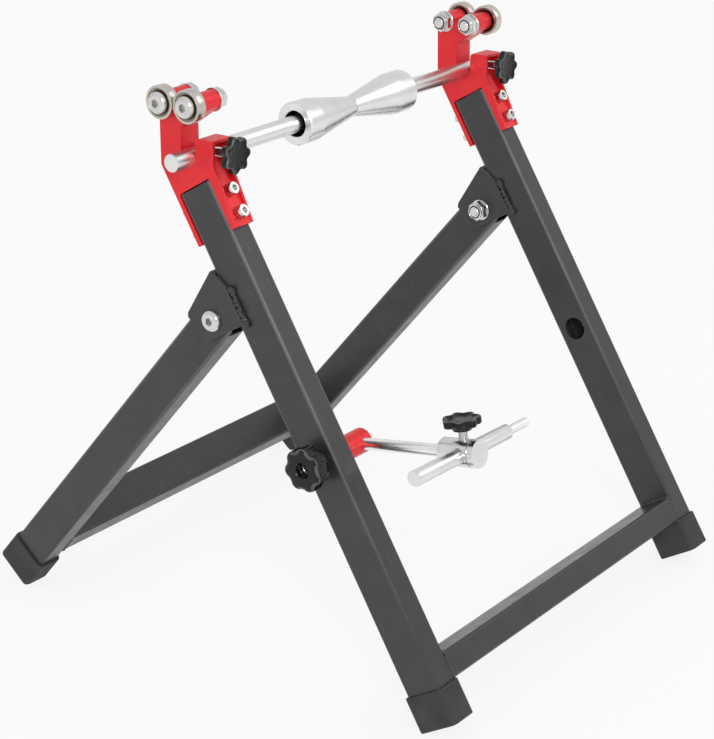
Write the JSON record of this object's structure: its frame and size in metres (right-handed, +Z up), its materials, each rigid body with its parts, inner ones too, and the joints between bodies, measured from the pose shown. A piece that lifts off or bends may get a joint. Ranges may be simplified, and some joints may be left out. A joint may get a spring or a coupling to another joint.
{
  "type": "motorcycle wheel balancer",
  "caption": "Folding bench stand that balances and trues a motorcycle wheel on a coned shaft across bearing rollers, with a truing pointer arm",
  "frame": {"origin": "middle of the footprint box, on the floor that the four feet stand on", "axes": "X along the shaft from the left upright, which carries the truing arm, to the right one; -Y to the front, where the uprights stand; Z up"},
  "size_m": [0.3632, 0.4022, 0.3934],
  "materials": {
    "black_coat": "satin black powder coat on steel tube and plate",
    "rubber": "matt black moulded rubber",
    "zinc": "bright zinc plated steel fasteners",
    "red_anodised": "red anodised aluminium",
    "bearing_steel": "polished bearing steel",
    "shield_steel": "pressed steel shield",
    "ground_steel": "ground bright steel bar",
    "turned_aluminium": "turned bright aluminium",
    "black_oxide": "black oxide steel",
    "black_plastic": "moulded black plastic with a fine grain"
  },
  "bodies": {
    "front_frame": {"left_upright": "black_coat", "right_upright": "black_coat", "front_crossbar": "black_coat", "left_clevis": "black_coat", "right_clevis": "black_coat", "left_front_foot": "rubber", "right_front_foot": "rubber", "pivot_bolts": "zinc", "pivot_washers": "zinc", "pivot_nuts": "zinc", "left_roller_bracket": "red_anodised", "right_roller_bracket": "red_anodised", "bracket_bolts": "zinc", "bracket_washers": "zinc", "bracket_nuts": "zinc", "roller_bolts": "bearing_steel", "roller_washers": "zinc", "roller_nuts": "zinc", "inner_rings": "bearing_steel"},
    "rear_frame": {"left_rear_leg": "black_coat", "right_rear_leg": "black_coat", "rear_crossbar": "black_coat", "left_rear_foot": "rubber", "right_rear_foot": "rubber"},
    "left_front_roller": {"left_front_roller": "bearing_steel", "left_front_shields": "shield_steel"},
    "left_front_balls": {"left_front_balls": "bearing_steel"},
    "left_rear_roller": {"left_rear_roller": "bearing_steel", "left_rear_shields": "shield_steel"},
    "left_rear_balls": {"left_rear_balls": "bearing_steel"},
    "right_front_roller": {"right_front_roller": "bearing_steel", "right_front_shields": "shield_steel"},
    "right_front_balls": {"right_front_balls": "bearing_steel"},
    "right_rear_roller": {"right_rear_roller": "bearing_steel", "right_rear_shields": "shield_steel"},
    "right_rear_balls": {"right_rear_balls": "bearing_steel"},
    "shaft": {"shaft": "ground_steel"},
    "left_cone": {"left_cone": "turned_aluminium", "left_cone_screw": "black_oxide"},
    "right_cone": {"right_cone": "turned_aluminium", "right_cone_screw": "black_oxide"},
    "left_clamp_screw": {"left_clamp_stud": "zinc"},
    "left_clamp_knob": {"left_clamp_knob": "black_plastic"},
    "right_clamp_screw": {"right_clamp_stud": "zinc"},
    "right_clamp_knob": {"right_clamp_knob": "black_plastic"},
    "swivel": {"swivel_clamp": "red_anodised"},
    "swivel_screw": {"swivel_stud": "zinc"},
    "swivel_knob": {"swivel_knob": "black_plastic"},
    "arm": {"arm_rod": "ground_steel"},
    "block": {"pointer_block": "ground_steel"},
    "pointer": {"pointer_rod": "ground_steel", "pointer_tip": "zinc"},
    "pointer_screw": {"pointer_stud": "zinc"},
    "pointer_knob": {"pointer_knob": "black_plastic"}
  },
  "joints": [
    {"name": "rear_frame_fold", "type": "hinge", "parent": "front_frame", "child": "rear_frame", "pos_m": [0, -0.01129, 0.24298], "axis": [-1, 0, 0], "range_deg": [0, 70]},
    {"name": "left_front_roller_spin", "type": "hinge", "parent": "front_frame", "child": "left_front_roller", "pos_m": [-0.1681, 0.00131, 0.38238], "axis": [1, 0, 0], "continuous": true},
    {"name": "left_front_balls_spin", "type": "hinge", "parent": "front_frame", "child": "left_front_balls", "pos_m": [-0.1681, 0.00131, 0.38238], "axis": [1, 0, 0], "continuous": true},
    {"name": "left_rear_roller_spin", "type": "hinge", "parent": "front_frame", "child": "left_rear_roller", "pos_m": [-0.1681, 0.02391, 0.38238], "axis": [1, 0, 0], "continuous": true},
    {"name": "left_rear_balls_spin", "type": "hinge", "parent": "front_frame", "child": "left_rear_balls", "pos_m": [-0.1681, 0.02391, 0.38238], "axis": [1, 0, 0], "continuous": true},
    {"name": "right_front_roller_spin", "type": "hinge", "parent": "front_frame", "child": "right_front_roller", "pos_m": [0.1681, 0.00131, 0.38238], "axis": [1, 0, 0], "continuous": true},
    {"name": "right_front_balls_spin", "type": "hinge", "parent": "front_frame", "child": "right_front_balls", "pos_m": [0.1681, 0.00131, 0.38238], "axis": [1, 0, 0], "continuous": true},
    {"name": "right_rear_roller_spin", "type": "hinge", "parent": "front_frame", "child": "right_rear_roller", "pos_m": [0.1681, 0.02391, 0.38238], "axis": [1, 0, 0], "continuous": true},
    {"name": "right_rear_balls_spin", "type": "hinge", "parent": "front_frame", "child": "right_rear_balls", "pos_m": [0.1681, 0.02391, 0.38238], "axis": [1, 0, 0], "continuous": true},
    {"name": "shaft_spin", "type": "hinge", "parent": "front_frame", "child": "shaft", "pos_m": [0, 0.00741, 0.34718], "axis": [1, 0, 0], "continuous": true},
    {"name": "left_cone_slide", "type": "slide", "parent": "shaft", "child": "left_cone", "axis": [-1, 0, 0], "range_m": [0, 0.08]},
    {"name": "right_cone_slide", "type": "slide", "parent": "shaft", "child": "right_cone", "axis": [1, 0, 0], "range_m": [0, 0.07]},
    {"name": "left_clamp_screw_slide", "type": "slide", "parent": "front_frame", "child": "left_clamp_screw", "axis": [0, -1, 0], "range_m": [0, 0.002]},
    {"name": "left_clamp_knob_turn", "type": "hinge", "parent": "left_clamp_screw", "child": "left_clamp_knob", "pos_m": [-0.155, -0.02239, 0.35208], "axis": [0, -1, 0], "range_deg": [0, 725]},
    {"name": "right_clamp_screw_slide", "type": "slide", "parent": "front_frame", "child": "right_clamp_screw", "axis": [0, -1, 0], "range_m": [0, 0.002]},
    {"name": "right_clamp_knob_turn", "type": "hinge", "parent": "right_clamp_screw", "child": "right_clamp_knob", "pos_m": [0.155, -0.02239, 0.35208], "axis": [0, -1, 0], "range_deg": [0, 725]},
    {"name": "swivel_turn", "type": "hinge", "parent": "front_frame", "child": "swivel", "pos_m": [-0.1245, -0.09416, 0.16454], "axis": [-1, 0, 0], "range_deg": [-45, 85]},
    {"name": "swivel_screw_slide", "type": "slide", "parent": "swivel", "child": "swivel_screw", "axis": [-1, 0, 0], "range_m": [0, 0.0025]},
    {"name": "swivel_knob_turn", "type": "hinge", "parent": "swivel_screw", "child": "swivel_knob", "pos_m": [-0.173, -0.09416, 0.16454], "axis": [-1, 0, 0], "range_deg": [0, 725]},
    {"name": "arm_slide", "type": "slide", "parent": "swivel", "child": "arm", "axis": [0, -0.9863, 0.165], "range_m": [-0.025, 0.012]},
    {"name": "block_turn", "type": "hinge", "parent": "arm", "child": "block", "pos_m": [-0.1245, -0.17849, 0.17865], "axis": [0, -0.9863, 0.165], "range_deg": [-90, 90]},
    {"name": "pointer_slide", "type": "slide", "parent": "block", "child": "pointer", "axis": [0.9996, -0.0049, -0.0293], "range_m": [-0.03, 0.03]},
    {"name": "pointer_screw_slide", "type": "slide", "parent": "block", "child": "pointer_screw", "axis": [0.0297, 0.165, 0.9859], "range_m": [0, 0.002]},
    {"name": "pointer_knob_turn", "type": "hinge", "parent": "pointer_screw", "child": "pointer_knob", "pos_m": [-0.124, -0.17568, 0.19541], "axis": [0.0297, 0.165, 0.9859], "range_deg": [0, 725]}
  ],
  "couplings": [
    {"joint": "left_front_balls_spin", "follows": "left_front_roller_spin", "ratio": 0.63},
    {"joint": "left_rear_balls_spin", "follows": "left_rear_roller_spin", "ratio": 0.63},
    {"joint": "right_front_balls_spin", "follows": "right_front_roller_spin", "ratio": 0.63},
    {"joint": "right_rear_balls_spin", "follows": "right_rear_roller_spin", "ratio": 0.63},
    {"joint": "left_clamp_knob_turn", "follows": "left_clamp_screw_slide", "rad_per_m": 6283.2},
    {"joint": "right_clamp_knob_turn", "follows": "right_clamp_screw_slide", "rad_per_m": 6283.2},
    {"joint": "swivel_knob_turn", "follows": "swivel_screw_slide", "rad_per_m": 5026.5},
    {"joint": "pointer_knob_turn", "follows": "pointer_screw_slide", "rad_per_m": 6283.2}
  ]
}
